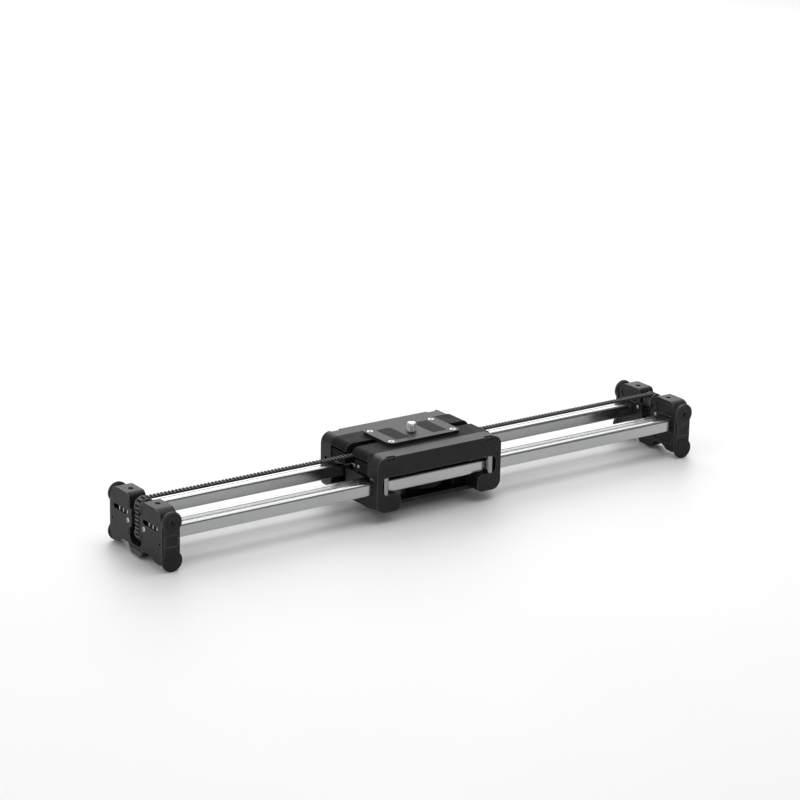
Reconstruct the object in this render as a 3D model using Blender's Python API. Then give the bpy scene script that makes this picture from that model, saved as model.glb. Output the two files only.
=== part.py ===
"""Camera slider with two belt-coupled carriages on two rails.

The rails join two end blocks. The camera carriage runs on the outside and top of the rails, and the tripod carriage
runs between and under them, so the two pass each other. A belt loop runs round four idlers in the end blocks: its top
run is held by the camera carriage and its bottom run by the tripod carriage.

X runs along the rails, -Y is the front, and Z = 0 is the ground under the feet. Lengths are in millimetres, heights
are measured from the rails' top face, and the meshes are built in metres.
"""

import math

import bmesh
import bpy
from mathutils import Vector

MM = 0.001
GAP = 0.3

# Rails
RAIL_LENGTH = 583.2
RAIL_INNER = 20.3
RAIL_OUTER = 41.1
RAIL_DEPTH = 12.7
RAIL_MIDDLE = (RAIL_INNER + RAIL_OUTER) / 2
GROOVE_SPREAD = 3.5
GROOVE_HALF = 0.45
GROOVE_DEPTH = 0.6

# End blocks
BLOCK_INNER_X = 292.0
BLOCK_OUTER_X = 309.3
BLOCK_SIDE = 45.0
BLOCK_TOP = 17.2
BLOCK_X = 300.0
SLOT_HALF = 10.8
SLOT_BOSS = 7.6
SLOT_FLOOR = -29.0
TONGUE_FLOOR = -38.3
ACCESSORY_HOLE = 2.6

# Belt and idlers
IDLER_X = 299.6
IDLER_HIGH = 7.5
IDLER_LOW = -18.6
IDLER_RADIUS = 6.4
BELT_THICKNESS = 1.7
BELT_HALF = 3.65
BELT_OUTER_RADIUS = IDLER_RADIUS + GAP + BELT_THICKNESS

# Legs
PIVOT_HEIGHT = 6.2
LEG_LENGTH = 36.5
LEG_RADIUS = 9.2
BOLT_RADIUS = 10.3
FOOT_RADIUS = 10.2
FOOT_SIDES = 24
LEG_INNER = 45.3
LEG_PLATE = 46.6
LEG_BAR = 48.7
LEG_CLEARANCE = 0.4
LEG_OUTER = 50.2
RAIL_TOP = FOOT_RADIUS + LEG_LENGTH - PIVOT_HEIGHT

# Camera carriage, about its own middle
CARRIAGE_HALF = 72.4
CAMERA_X = -4.0
PLATE_OUTER = 48.0
PLATE_WALL = 41.6
PLATE_INNER = 31.3
PLATE_TOP = 24.8
HOOK_INNER = 30.0
HOOK_FLOOR = -29.8
HOOK_START = 45.2
WINDOW_HALF = 66.8
WINDOW_TOP = 5.0
WINDOW_FLOOR = -12.8
COVER_INNER = 5.3
COVER_OUTER = 30.9
COVER_TOP = 25.0
COVER_FLOOR = 17.2
HOUSING_FLOOR = 3.4
DECK_FLOOR = COVER_TOP + GAP
DECK_TOP = 28.3
SCREW_RADIUS = 4.76
SCREW_HOLE = 4.1

# Rollers: radius and place along the carriage
TOP_ROLLER = (7.5, 57.0)
LOW_ROLLER = (5.0, 56.0)
SIDE_ROLLER = (3.2, 61.2)
GUIDE_ROLLER = (6.0, 60.0)
SUPPORT_ROLLER = (6.0, 45.0)
TOP_ROLLER_HEIGHT = TOP_ROLLER[0] + GAP
LOW_ROLLER_HEIGHT = -RAIL_DEPTH - GAP - LOW_ROLLER[0]
SIDE_ROLLER_Y = RAIL_OUTER + GAP + SIDE_ROLLER[0]
GUIDE_ROLLER_Y = RAIL_INNER - GAP - GUIDE_ROLLER[0]
SUPPORT_ROLLER_HEIGHT = -RAIL_DEPTH - GAP - SUPPORT_ROLLER[0]

# Tripod carriage, about its own middle
TRIPOD_X = 4.0
BASE_HALF_WIDTH = 29.4
BASE_FLOOR = -32.0
BASE_TOP = -28.3
FRAME_HALF_WIDTH = 19.6
FRAME_FLOOR = BASE_TOP + GAP
FRAME_TOP = -3.6
WHEEL_RADIUS = 25.0
WHEEL_FLOOR = -24.4
WHEEL_TOP = -14.0

SIDES = {"front": -1, "rear": 1}
ENDS = {"left": -1, "right": 1}


def clear_scene():
    for item in list(bpy.data.objects):
        bpy.data.objects.remove(item, do_unlink=True)


def principled(name, colour, roughness, metallic=0.0):
    material = bpy.data.materials.new(name)
    material.use_nodes = True
    shader = material.node_tree.nodes["Principled BSDF"]
    shader.inputs["Base Color"].default_value = (*colour, 1.0)
    shader.inputs["Roughness"].default_value = roughness
    shader.inputs["Metallic"].default_value = metallic
    return material


def empty(name, location):
    """A parent for the pieces of one moving body, placed in millimetres on its joint's axis."""
    anchor = bpy.data.objects.new(name, None)
    anchor.location = Vector(location) * MM
    bpy.context.scene.collection.objects.link(anchor)
    return anchor


def finish_mesh(name, mesh_data, material, parent):
    """Turns a closed bmesh into an object whose faces point out."""
    bmesh.ops.recalc_face_normals(mesh_data, faces=mesh_data.faces)
    mesh = bpy.data.meshes.new(name)
    mesh_data.to_mesh(mesh)
    mesh_data.free()
    mesh.shade_smooth()
    mesh.set_sharp_from_angle(angle=math.radians(30))
    piece = bpy.data.objects.new(name, mesh)
    if material:
        mesh.materials.append(material)
    bpy.context.scene.collection.objects.link(piece)
    piece.parent = parent
    return piece


def place(axis, u, v, along):
    """A point in metres: u and v lie across the axis in X, Y, Z order, and along lies on it."""
    if axis == "X":
        point = (along, u, v)
    elif axis == "Y":
        point = (u, along, v)
    else:
        point = (u, v, along)
    return Vector(point) * MM


def rounded(corners, steps=3):
    """The outline through (u, v, radius) corners, with an arc at each corner that has a radius."""
    outline = []
    for index, (u, v, radius) in enumerate(corners):
        corner = Vector((u, v))
        if radius == 0:
            outline.append(corner)
            continue
        back = (Vector(corners[index - 1][:2]) - corner).normalized()
        ahead = (Vector(corners[(index + 1) % len(corners)][:2]) - corner).normalized()
        half_angle = back.angle(ahead) / 2
        centre = corner + (back + ahead).normalized() * radius / math.sin(half_angle)
        first = corner + back * radius / math.tan(half_angle) - centre
        last = corner + ahead * radius / math.tan(half_angle) - centre
        start = math.atan2(first.y, first.x)
        sweep = (math.atan2(last.y, last.x) - start + math.pi) % math.tau - math.pi
        for step in range(steps + 1):
            angle = start + sweep * step / steps
            outline.append(centre + radius * Vector((math.cos(angle), math.sin(angle))))
    return outline


def rectangle(u_low, v_low, u_high, v_high, radius=0.0):
    corners = [(u_low, v_low), (u_high, v_low), (u_high, v_high), (u_low, v_high)]
    return rounded([(u, v, radius) for u, v in corners])


def prism(name, outline, axis, low, high, material=None, parent=None):
    """An outline pushed along an axis from low to high."""
    shape = bmesh.new()
    ends = [[shape.verts.new(place(axis, u, v, along)) for u, v in outline] for along in (low, high)]
    shape.faces.new(ends[0])
    shape.faces.new(list(reversed(ends[1])))
    for index in range(len(outline)):
        after = (index + 1) % len(outline)
        shape.faces.new([ends[0][index], ends[1][index], ends[1][after], ends[0][after]])
    return finish_mesh(name, shape, material, parent)


def lathe(name, profile, axis, centre, material=None, parent=None, sides=16, bore=False):
    """A (radius, along) profile turned about an axis through centre. With a bore, the profile closes on itself."""
    shape = bmesh.new()
    rings = []
    for radius, along in profile:
        if radius == 0:
            rings.append([shape.verts.new(place(axis, 0, 0, along))] * sides)
            continue
        turns = [math.tau * (side + 0.5) / sides for side in range(sides)]
        spots = [place(axis, radius * math.cos(turn), radius * math.sin(turn), along) for turn in turns]
        rings.append([shape.verts.new(spot) for spot in spots])
    pairs = list(zip(rings, rings[1:]))
    if bore:
        pairs.append((rings[-1], rings[0]))
    for lower, upper in pairs:
        for side in range(sides):
            after = (side + 1) % sides
            loop = [lower[side], lower[after], upper[after], upper[side]]
            shape.faces.new(list(dict.fromkeys(loop)))
    piece = finish_mesh(name, shape, material, parent)
    piece.location = Vector(centre) * MM
    return piece


def cylinder(name, radius, axis, centre, low, high, parent, sides=12):
    profile = [(0, low), (radius, low), (radius, high), (0, high)]
    return lathe(name, profile, axis, centre, parent=parent, sides=sides)


def cut(piece, tool):
    """Takes a helper shape out of a piece."""
    tool.hide_render = True
    tool.display_type = "WIRE"
    modifier = piece.modifiers.new(tool.name, "BOOLEAN")
    modifier.operation = "DIFFERENCE"
    modifier.solver = "EXACT"
    modifier.object = tool


def join(piece, tool):
    """Adds a helper shape to a piece."""
    cut(piece, tool)
    piece.modifiers[-1].operation = "UNION"


def cut_box(piece, low, high):
    """Takes an upright box between two corners out of a piece."""
    (x_low, y_low, z_low), (x_high, y_high, z_high) = low, high
    outline = rectangle(min(x_low, x_high), min(y_low, y_high), max(x_low, x_high), max(y_low, y_high))
    cut(piece, prism("cutter", outline, "Z", z_low, z_high, parent=piece.parent))


def cut_bore(piece, radius, axis, centre, low, high, sides=12):
    cut(piece, cylinder("cutter", radius, axis, centre, low, high, piece.parent, sides))


def rail(name, side, material, parent):
    """A flat bar with rounded edges and two narrow grooves along its top."""
    corners = [(side * RAIL_INNER, 0, 2.5)]
    for middle in (RAIL_MIDDLE - GROOVE_SPREAD, RAIL_MIDDLE + GROOVE_SPREAD):
        corners += [
            (side * (middle - GROOVE_HALF), 0, 0),
            (side * (middle - GROOVE_HALF), -GROOVE_DEPTH, 0),
            (side * (middle + GROOVE_HALF), -GROOVE_DEPTH, 0),
            (side * (middle + GROOVE_HALF), 0, 0),
        ]
    corners += [
        (side * RAIL_OUTER, 0, 2.5),
        (side * RAIL_OUTER, -RAIL_DEPTH, 1.0),
        (side * RAIL_INNER, -RAIL_DEPTH, 1.0),
    ]
    return prism(name, rounded(corners), "X", -RAIL_LENGTH / 2, RAIL_LENGTH / 2, material, parent)


def end_block(name, end, material, parent):
    """Two lobes on either side of the belt slot, joined by a tongue below it."""
    half = [
        (7.0, SLOT_FLOOR, 1.5),
        (SLOT_HALF, -24.5, 1.0),
        (SLOT_HALF, -13.5, 0),
        (SLOT_BOSS, -13.5, 0),
        (SLOT_BOSS, 2.5, 0),
        (SLOT_HALF, 2.5, 0),
        (SLOT_HALF, BLOCK_TOP, 5.5),
        (BLOCK_SIDE, BLOCK_TOP, 11.0),
        (BLOCK_SIDE, -35.0, 3.0),
        (33.5, -34.6, 4.0),
        (26.0, -30.3, 4.0),
        (13.4, -30.3, 2.0),
        (10.7, -35.5, 1.0),
        (8.0, TONGUE_FLOOR, 1.0),
    ]
    mirrored = [(-y, z, radius) for y, z, radius in reversed(half)]
    low, high = sorted((end * BLOCK_INNER_X, end * BLOCK_OUTER_X))
    block = prism(name, rounded(half + mirrored), "X", low, high, material, parent)
    for height in (IDLER_HIGH, IDLER_LOW):
        cut_bore(block, 2.8, "Y", (end * IDLER_X, 0, height), -16.3, 16.3)
    for side in SIDES.values():
        pivot_span = sorted((side * 35.7, side * 47.0))
        cut_bore(block, 3.3, "Y", (end * BLOCK_X, 0, PIVOT_HEIGHT), *pivot_span)
        cut_bore(block, ACCESSORY_HOLE, "Z", (end * BLOCK_X, side * 24.0, 0), 9.0, 19.0)
    pad_floor, pad_top = -37.7, -32.7
    recess = rectangle(-9.8, pad_floor, 9.8, pad_top, 2.0)
    deep, proud = sorted((end * 308.3, end * 311.0))
    cut(block, prism("cutter", recess, "X", deep, proud, parent=parent))
    return block


def end_pad(name, end, material, parent):
    """Soft pad let into the tongue's outer face."""
    low, high = sorted((end * 308.6, end * 309.9))
    return prism(name, rectangle(-9.5, -37.4, 9.5, -33.0, 1.7), "X", low, high, material, parent)


def idler(name, end, height, material, parent):
    """Flanged idler with a bore, turning on its axle."""
    half = [(2.8, 7.2), (4.0, 7.2), (4.0, 5.2), (8.2, 5.2), (8.2, 4.0), (IDLER_RADIUS, 4.0)]
    profile = half + [(radius, -along) for radius, along in reversed(half)]
    return lathe(name, profile, "Y", (end * IDLER_X, 0, height), material, parent, bore=True)


def idler_axle(name, end, height, material, parent):
    profile = [(0, -16), (2.5, -16), (2.5, 16), (0, 16)]
    return lathe(name, profile, "Y", (end * IDLER_X, 0, height), material, parent, sides=12)


def belt_loop(radius):
    """The loop at a given distance from the idlers' axes, as an outline in X and Z."""
    reach = IDLER_X + radius
    return rounded(
        [
            (-reach, IDLER_LOW - radius, radius),
            (reach, IDLER_LOW - radius, radius),
            (reach, IDLER_HIGH + radius, radius),
            (-reach, IDLER_HIGH + radius, radius),
        ],
        6,
    )


def drive_belt(name, material, parent):
    belt = prism(name, belt_loop(BELT_OUTER_RADIUS), "Y", -BELT_HALF, BELT_HALF, material, parent)
    inside = belt_loop(BELT_OUTER_RADIUS - BELT_THICKNESS)
    cut(belt, prism("cutter", inside, "Y", -BELT_HALF - 1, BELT_HALF + 1, parent=parent))
    return belt


def leg_arm(name, side, material, parent):
    """Flat plate behind the pivot bolt and the foot, with a thicker bar between them. Z = 0 is the pivot."""
    radius = LEG_RADIUS
    plate_outline = rectangle(-radius, -LEG_LENGTH - radius, radius, radius, radius - 0.01)
    low, high = sorted((side * LEG_INNER, side * LEG_PLATE))
    arm = prism(name, plate_outline, "Y", low, high, material, parent)
    low, high = sorted((side * (LEG_INNER + 0.6), side * LEG_BAR))
    join(arm, prism("cutter", rectangle(-8.2, -30, 8.2, -5), "Y", low, high, parent=parent))
    low, high = sorted((side * LEG_PLATE, side * (LEG_BAR + 2)))
    cut_bore(arm, BOLT_RADIUS + LEG_CLEARANCE, "Y", (0, 0, 0), low, high, 24)
    cut_bore(arm, FOOT_RADIUS + LEG_CLEARANCE, "Y", (0, 0, -LEG_LENGTH), low, high, 24)
    low, high = sorted((side * (LEG_INNER - 2), side * (LEG_BAR + 2)))
    cut_bore(arm, 3.3, "Y", (0, 0, 0), low, high)
    cut_bore(arm, 2.5, "Y", (0, 0, -LEG_LENGTH), low, high)
    return arm


def foot(name, side, material, parent):
    """Round foot with a peg through the arm's plate. Its lowest facet lies flat on the ground."""
    corner_radius = FOOT_RADIUS / math.cos(math.pi / FOOT_SIDES)
    profile = [
        (0, side * (LEG_INNER + GAP)),
        (2.2, side * (LEG_INNER + GAP)),
        (2.2, side * (LEG_PLATE + GAP)),
        (corner_radius, side * (LEG_PLATE + GAP)),
        (corner_radius, side * (LEG_OUTER - 0.6)),
        (corner_radius - 0.6, side * LEG_OUTER),
        (0, side * LEG_OUTER),
    ]
    return lathe(name, profile, "Y", (0, 0, -LEG_LENGTH), material, parent, sides=FOOT_SIDES)


def pivot_bolt(name, end, side, material, parent):
    """Round-headed bolt that the leg turns on, with a hex socket."""
    profile = [
        (0, side * 36.2),
        (3.0, side * 36.2),
        (3.0, side * (LEG_PLATE + GAP)),
        (BOLT_RADIUS, side * (LEG_PLATE + GAP)),
        (BOLT_RADIUS, side * (LEG_OUTER - 0.9)),
        (BOLT_RADIUS - 0.9, side * LEG_OUTER),
        (0, side * LEG_OUTER),
    ]
    centre = (end * BLOCK_X, 0, PIVOT_HEIGHT)
    bolt = lathe(name, profile, "Y", centre, material, parent, sides=20)
    low, high = sorted((side * (LEG_OUTER - 2.4), side * (LEG_OUTER + 1)))
    cut_bore(bolt, 2.3, "Y", centre, low, high, 6)
    return bolt


def side_plate(name, side, material, parent):
    """C-shaped plate: it stands over the rail's outer side, with a window and two hooks under the rail."""
    silhouette = rounded(
        [
            (-CARRIAGE_HALF, HOOK_FLOOR, 9.0),
            (CARRIAGE_HALF, HOOK_FLOOR, 9.0),
            (CARRIAGE_HALF, PLATE_TOP, 10.0),
            (-CARRIAGE_HALF, PLATE_TOP, 10.0),
        ],
        5,
    )
    low, high = sorted((side * HOOK_INNER, side * PLATE_OUTER))
    plate = prism(name, silhouette, "Y", low, high, material, parent)
    cut_box(plate, (-80, side * 29, -13.2), (80, side * PLATE_WALL, 3.5))
    cut_box(plate, (-80, side * 29, 3.0), (80, side * PLATE_INNER, 30))
    below_hooks = HOOK_FLOOR - 0.05
    half = [
        (80, -35, 0),
        (80, below_hooks, 0),
        (HOOK_START, below_hooks, 6.0),
        (HOOK_START, WINDOW_FLOOR, 6.0),
        (WINDOW_HALF, WINDOW_FLOOR, 5.0),
        (WINDOW_HALF, WINDOW_TOP, 5.0),
    ]
    window = rounded(half + [(-x, z, radius) for x, z, radius in reversed(half)])
    low, high = sorted((side * 28, side * 50))
    cut(plate, prism("cutter", window, "Y", low, high, parent=parent))
    for end in ENDS.values():
        x = end * LOW_ROLLER[1]
        cut_box(plate, (x - 5.6, side * 31.9, -23.6), (x + 5.6, side * 41.1, -12.0))
        low, high = sorted((side * 41.0, side * 44.8))
        cut_bore(plate, 1.8, "Y", (x, 0, LOW_ROLLER_HEIGHT), low, high)
        low, high = sorted((side * 31.0, side * 34.8))
        cut_bore(plate, 2.0, "Y", (end * TOP_ROLLER[1], 0, TOP_ROLLER_HEIGHT), low, high)
        spot = (end * SIDE_ROLLER[1], side * SIDE_ROLLER_Y, 0)
        cut_bore(plate, SIDE_ROLLER[0] + GAP, "Z", spot, -13.0, 4.9)
        cut_bore(plate, 1.7, "Z", spot, -16.8, 8.3)
    return plate


def cover(name, side, material, parent):
    """Top cover with a roller housing under each end."""
    half = [
        (CARRIAGE_HALF, COVER_TOP, 7.4),
        (CARRIAGE_HALF, COVER_FLOOR, 0),
        (66.0, COVER_FLOOR, 0),
        (66.0, 14.5, 0),
        (71.5, 14.5, 0),
        (71.5, HOUSING_FLOOR, 0),
        (47.0, HOUSING_FLOOR, 0),
        (47.0, COVER_FLOOR, 0),
    ]
    mirrored = [(-x, z, radius) for x, z, radius in reversed(half)]
    low, high = sorted((side * COVER_INNER, side * COVER_OUTER))
    shell = prism(name, rounded(half + mirrored), "Y", low, high, material, parent)
    for end in ENDS.values():
        x = end * TOP_ROLLER[1]
        cut_box(shell, (end * 46, side * 4, 2), (end * 80, side * 9, COVER_FLOOR))
        cut_box(shell, (x - 8.3, side * 21.6, 2), (x + 8.3, side * 32, 16.2))
        low, high = sorted((side * 18, side * 22))
        cut_bore(shell, 2.0, "Y", (x, 0, TOP_ROLLER_HEIGHT), low, high)
    cut_bore(shell, 8.6, "Z", (0, 0, 0), 16, 27, 20)
    return shell


def camera_deck(name, material, parent):
    """Plate on the covers that the camera head stands on."""
    deck = prism(name, rectangle(-42, -24, 42, 24, 6), "Z", DECK_FLOOR, DECK_TOP, material, parent)
    cut_bore(deck, 5.1, "Z", (0, 0, 0), 24, 30, 16)
    return deck


def camera_screw(name, material, parent):
    """Captive screw: a flat head under the deck and a thread above it."""
    profile = [
        (0, 19.8),
        (8.0, 19.8),
        (8.0, 24.9),
        (SCREW_RADIUS, 24.9),
        (SCREW_RADIUS, 35.2),
        (SCREW_RADIUS - 0.8, 36.0),
        (0, 36.0),
    ]
    return lathe(name, profile, "Z", (0, 0, 0), material, parent, sides=20)


def belt_clamp(name, outline, x_span, belt_middle, material, parent):
    """Block that holds one run of the belt in a tunnel."""
    clamp = prism(name, outline, "X", *x_span, material, parent)
    half_height = BELT_THICKNESS / 2 + GAP
    reach = BELT_HALF + GAP
    low = (x_span[0] - 1, -reach, belt_middle - half_height)
    high = (x_span[1] + 1, reach, belt_middle + half_height)
    cut_box(clamp, low, high)
    return clamp


def roller(name, axis, centre, radius, body, spindle, spindle_radius, material, parent, sides=12):
    """Roller with its spindle: body and spindle are (low, high) spans along the axis."""
    profile = [(0, spindle[0])]
    if spindle[0] < body[0]:
        profile += [(spindle_radius, spindle[0]), (spindle_radius, body[0])]
    profile += [(radius, body[0]), (radius, body[1])]
    if spindle[1] > body[1]:
        profile += [(spindle_radius, body[1]), (spindle_radius, spindle[1])]
    profile.append((0, spindle[1]))
    return lathe(name, profile, axis, centre, material, parent, sides=sides)


def span(side, low, high):
    """A span of distances from the middle, mirrored to one side."""
    return tuple(sorted((side * low, side * high)))


def camera_rollers(end_name, side_name, finish, parent):
    """The three rollers at one corner of the camera carriage: on, under and beside the rail."""
    end = ENDS[end_name]
    side = SIDES[side_name]
    corner = f"{end_name}_{side_name}"
    roller(
        f"top_roller_{corner}", "Y", (end * TOP_ROLLER[1], 0, TOP_ROLLER_HEIGHT), TOP_ROLLER[0],
        span(side, 22.3, 30.3), span(side, 18.4, 34.5), 1.7, finish["steel"], parent, 16,
    )
    roller(
        f"low_roller_{corner}", "Y", (end * LOW_ROLLER[1], 0, LOW_ROLLER_HEIGHT), LOW_ROLLER[0],
        span(side, 32.2, 40.7), span(side, 32.2, 44.5), 1.5, finish["grey_plastic"], parent,
    )
    roller(
        f"side_roller_{corner}", "Z", (end * SIDE_ROLLER[1], side * SIDE_ROLLER_Y, 0), SIDE_ROLLER[0],
        (-12.6, 4.6), (-16.5, 8.0), 1.4, finish["chrome"], parent,
    )


def tripod_rollers(end_name, side_name, steel, parent):
    """The grooved guide roller and the support roller at one corner of the tripod carriage."""
    end = ENDS[end_name]
    side = SIDES[side_name]
    corner = f"{end_name}_{side_name}"
    rim = GUIDE_ROLLER[0] + 1.5
    under_rail = -RAIL_DEPTH - GAP
    guide_profile = [
        (0, -19.5), (2.0, -19.5), (2.0, under_rail - 1.4), (rim, under_rail - 1.4), (rim, under_rail),
        (GUIDE_ROLLER[0], under_rail), (GUIDE_ROLLER[0], GAP), (rim, GAP), (rim, 1.8), (0, 1.8),
    ]
    guide_centre = (end * GUIDE_ROLLER[1], side * GUIDE_ROLLER_Y, 0)
    lathe(f"guide_roller_{corner}", guide_profile, "Z", guide_centre, steel, parent, sides=14)
    roller(
        f"support_roller_{corner}", "Y", (end * SUPPORT_ROLLER[1], 0, SUPPORT_ROLLER_HEIGHT), SUPPORT_ROLLER[0],
        span(side, 21.2, 29.2), span(side, 15.0, 29.2), 1.7, steel, parent,
    )


def base_plate(name, material, parent):
    """Plate that stands on the tripod, with the 3/8 inch hole in its middle."""
    outline = rectangle(-CARRIAGE_HALF, -BASE_HALF_WIDTH, CARRIAGE_HALF, BASE_HALF_WIDTH, 5)
    plate = prism(name, outline, "Z", BASE_FLOOR, BASE_TOP, material, parent)
    cut_bore(plate, SCREW_HOLE, "Z", (0, 0, 0), BASE_FLOOR - 1, BASE_TOP + 1, 16)
    return plate


def tripod_frame(name, material, parent):
    """Two trucks joined by a bridge over the ribbed wheel, with a tunnel for the belt's bottom run."""
    outline = rectangle(-72.0, -FRAME_HALF_WIDTH, 72.0, FRAME_HALF_WIDTH, 2)
    frame = prism(name, outline, "Z", FRAME_FLOOR, FRAME_TOP, material, parent)
    cut_box(frame, (-28, -30, -30), (28, 30, -13.4))
    cut_box(frame, (-80, -5.5, -30), (80, 5.5, -23.6))
    for end in ENDS.values():
        for side in SIDES.values():
            spot = (end * GUIDE_ROLLER[1], side * GUIDE_ROLLER_Y, 0)
            cut_bore(frame, 8.4, "Z", spot, -14.9, 0, 20)
            cut_bore(frame, 2.3, "Z", spot, -19.8, -14)
            low, high = span(side, 14.7, 21)
            spot = (end * SUPPORT_ROLLER[1], 0, SUPPORT_ROLLER_HEIGHT)
            cut_bore(frame, 2.0, "Y", spot, low, high)
    cut_bore(frame, 3.3, "Z", (0, 0, 0), -15, -7.7)
    return frame


def ribbed_wheel(name, material, parent):
    """Thumb wheel on a stub under the frame's bridge."""
    profile = [
        (0, WHEEL_FLOOR),
        (WHEEL_RADIUS - 0.8, WHEEL_FLOOR),
        (WHEEL_RADIUS, WHEEL_FLOOR + 0.8),
        (WHEEL_RADIUS, WHEEL_TOP - 0.8),
        (WHEEL_RADIUS - 0.8, WHEEL_TOP),
        (3.0, WHEEL_TOP),
        (3.0, -8.0),
        (0, -8.0),
    ]
    return lathe(name, profile, "Z", (0, 0, 0), material, parent, sides=32)


def build_rail_frame(finish, anchor):
    """The rails, end blocks, belt, axles and pads: everything that the carriages run on."""
    for side_name, side in SIDES.items():
        rail(f"{side_name}_rail", side, finish["silver"], anchor)
    for end_name, end in ENDS.items():
        end_block(f"{end_name}_end_block", end, finish["black_metal"], anchor)
        end_pad(f"{end_name}_end_pad", end, finish["rubber"], anchor)
        for level, height in (("upper", IDLER_HIGH), ("lower", IDLER_LOW)):
            idler(f"{end_name}_{level}_idler", end, height, finish["grey_plastic"], anchor)
            idler_axle(f"{end_name}_{level}_axle", end, height, finish["steel"], anchor)
    drive_belt("drive_belt", finish["belt_rubber"], anchor)


def build_legs(finish, anchor):
    """Four legs, each on an empty at its pivot."""
    for end_name, end in ENDS.items():
        for side_name, side in SIDES.items():
            corner = f"{end_name}_{side_name}"
            pivot = empty(f"leg_pivot_{corner}", (end * BLOCK_X, 0, RAIL_TOP + PIVOT_HEIGHT))
            leg_arm(f"leg_arm_{corner}", side, finish["black_metal"], pivot)
            foot(f"foot_{corner}", side, finish["rubber"], pivot)
            pivot_bolt(f"pivot_bolt_{corner}", end, side, finish["black_metal"], anchor)


def build_camera_carriage(finish, anchor):
    for side_name, side in SIDES.items():
        side_plate(f"{side_name}_side_plate", side, finish["black_metal"], anchor)
        cover(f"{side_name}_cover", side, finish["black_plastic"], anchor)
    camera_deck("camera_deck", finish["black_metal"], anchor)
    camera_screw("camera_screw", finish["steel"], anchor)
    belt_middle = IDLER_HIGH + BELT_OUTER_RADIUS - BELT_THICKNESS / 2
    outline = rectangle(-5.0, 12.4, 5.0, 24.9)
    belt_clamp("upper_belt_clamp", outline, (20, 34), belt_middle, finish["grey_plastic"], anchor)
    for end_name in ENDS:
        for side_name in SIDES:
            camera_rollers(end_name, side_name, finish, anchor)


def build_tripod_carriage(finish, anchor):
    base_plate("base_plate", finish["black_metal"], anchor)
    tripod_frame("tripod_frame", finish["black_metal"], anchor)
    ribbed_wheel("ribbed_wheel", finish["black_plastic"], anchor)
    belt_middle = IDLER_LOW - BELT_OUTER_RADIUS + BELT_THICKNESS / 2
    outline = rectangle(-5.2, FRAME_FLOOR, 5.2, -23.9)
    belt_clamp("lower_belt_clamp", outline, (44, 60), belt_middle, finish["grey_plastic"], anchor)
    for end_name in ENDS:
        for side_name in SIDES:
            tripod_rollers(end_name, side_name, finish["steel"], anchor)


def main():
    clear_scene()
    finish = {
        "silver": principled("silver_rail", (0.62, 0.63, 0.64), 0.32, 1.0),
        "black_metal": principled("black_metal", (0.022, 0.022, 0.024), 0.42),
        "black_plastic": principled("black_plastic", (0.03, 0.03, 0.032), 0.5),
        "grey_plastic": principled("grey_plastic", (0.09, 0.09, 0.095), 0.5),
        "rubber": principled("foot_rubber", (0.028, 0.028, 0.03), 0.65),
        "belt_rubber": principled("belt_rubber", (0.035, 0.035, 0.037), 0.7),
        "chrome": principled("chrome", (0.75, 0.75, 0.76), 0.12, 1.0),
        "steel": principled("steel", (0.55, 0.55, 0.56), 0.3, 1.0),
    }
    build_rail_frame(finish, empty("rail_frame_anchor", (0, 0, RAIL_TOP)))
    build_legs(finish, bpy.data.objects["rail_frame_anchor"])
    build_camera_carriage(finish, empty("camera_carriage_anchor", (CAMERA_X, 0, RAIL_TOP)))
    build_tripod_carriage(finish, empty("tripod_carriage_anchor", (TRIPOD_X, 0, RAIL_TOP)))


main()
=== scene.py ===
"""Looks of the camera slider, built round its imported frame.

X runs along the rails, -Y is the front, and the ground is at Z = 0. Lengths are in millimetres. Heights are
measured from the rails' top face. Each group of pieces has its own middle: the rail frame's, the camera
carriage's or the tripod carriage's.
"""

import math

import bmesh
import bpy
from mathutils import Matrix, Vector


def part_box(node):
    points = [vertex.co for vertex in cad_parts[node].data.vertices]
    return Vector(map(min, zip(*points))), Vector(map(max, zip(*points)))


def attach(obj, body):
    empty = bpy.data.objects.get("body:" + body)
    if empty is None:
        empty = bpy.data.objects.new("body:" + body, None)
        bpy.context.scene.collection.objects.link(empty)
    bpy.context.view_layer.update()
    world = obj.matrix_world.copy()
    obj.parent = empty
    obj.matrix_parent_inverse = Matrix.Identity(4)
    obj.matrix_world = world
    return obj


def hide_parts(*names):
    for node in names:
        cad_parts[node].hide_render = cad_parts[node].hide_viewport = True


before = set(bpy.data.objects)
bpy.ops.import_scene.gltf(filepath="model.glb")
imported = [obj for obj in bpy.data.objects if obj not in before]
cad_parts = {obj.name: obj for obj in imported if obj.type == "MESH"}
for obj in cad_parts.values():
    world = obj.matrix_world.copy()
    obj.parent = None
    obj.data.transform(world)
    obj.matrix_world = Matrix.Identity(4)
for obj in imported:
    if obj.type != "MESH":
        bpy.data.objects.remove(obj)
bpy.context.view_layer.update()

MM = 0.001
GAP = 0.3
BEVEL_ANGLE = 32
SHARP_ANGLE = 46
SIDES = {"front": -1, "rear": 1}
ENDS = {"left": -1, "right": 1}
CORNERS = [
    (f"{end_name}_{side_name}", end, side)
    for end_name, end in ENDS.items()
    for side_name, side in SIDES.items()
]


# Places and sizes, read from the frame


def low_of(node):
    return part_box(node)[0] / MM


def high_of(node):
    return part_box(node)[1] / MM


def middle_of(node):
    return (low_of(node) + high_of(node)) / 2


RAIL_TOP = high_of("rear_rail").z


def floor_of(node):
    return low_of(node).z - RAIL_TOP


def top_of(node):
    return high_of(node).z - RAIL_TOP


FRAME_AT = Vector((0, 0, RAIL_TOP))
CAMERA_AT = Vector((middle_of("rear_side_plate").x, 0, RAIL_TOP))
TRIPOD_AT = Vector((middle_of("base_plate").x, 0, RAIL_TOP))

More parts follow.
